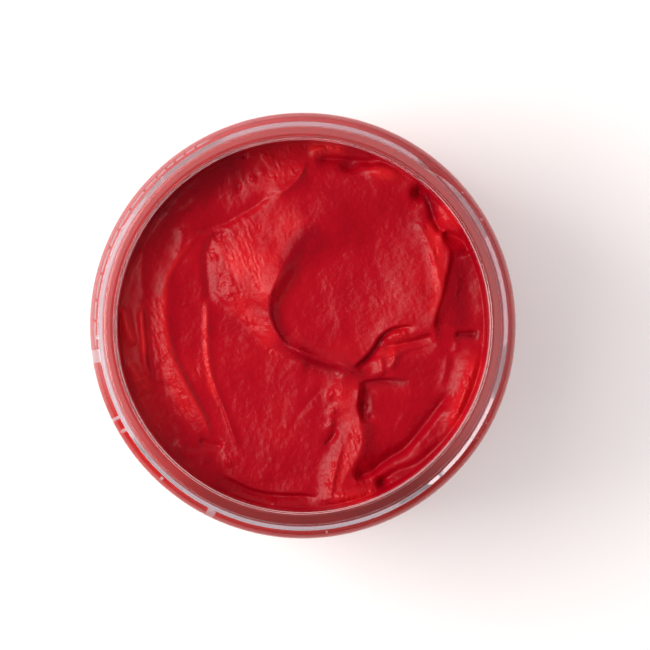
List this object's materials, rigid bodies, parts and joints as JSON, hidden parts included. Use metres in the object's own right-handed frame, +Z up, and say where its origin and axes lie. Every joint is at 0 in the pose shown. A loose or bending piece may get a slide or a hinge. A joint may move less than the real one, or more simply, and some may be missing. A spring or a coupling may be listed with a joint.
{
  "type": "paint jar",
  "caption": "Open clear screw-top jar filled to the neck with thick paste paint, scooped and swirled on top; the lid is off.",
  "frame": {"origin": "centre of the jar's base, on the surface that the jar stands on", "axes": "+Z up the jar's axis through the mouth; +X and +Y are level, with +Y away from a person at the front"},
  "size_m": [0.073, 0.073, 0.06],
  "materials": {
    "clear_plastic": "clear, glossy, slightly hazy on the moulded rim",
    "paint": "thick wet paste paint, satin"
  },
  "bodies": {
    "root": {"jar_body": "clear_plastic", "paint": "paint"}
  },
  "joints": []
}
